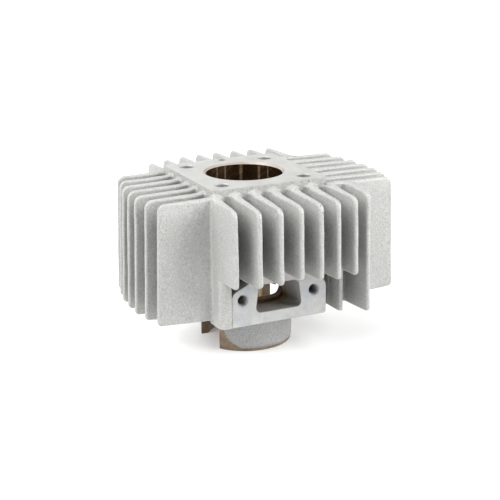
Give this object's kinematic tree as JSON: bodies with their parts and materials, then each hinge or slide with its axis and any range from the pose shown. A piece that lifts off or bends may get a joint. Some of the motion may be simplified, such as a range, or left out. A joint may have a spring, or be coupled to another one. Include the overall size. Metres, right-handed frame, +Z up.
{
  "type": "engine cylinder barrel",
  "caption": "Air-cooled two-stroke cylinder barrel: finned aluminium casting around an iron liner, with stud holes, intake and exhaust flanges and a slotted skirt.",
  "frame": {"origin": "centre of the object's box at the level of the skirt's end, on which it stands; the bore axis is at x = -4.6 mm, y = 0", "axes": "+Z up along the bore towards the deck; -Y towards the intake flange; +X to the right seen from the intake side, the way the fins reach furthest"},
  "size_m": [0.1358, 0.1253, 0.0865],
  "materials": {
    "cast_aluminium": "shot-blasted sand casting, light warm grey and finely grained, with machined deck, flange faces and holes",
    "liner_iron": "bored and cross-honed cast iron, brown and slightly oily inside, turned outside"
  },
  "bodies": {
    "root": {"barrel_casting": "cast_aluminium", "cylinder_liner": "liner_iron"}
  },
  "joints": []
}
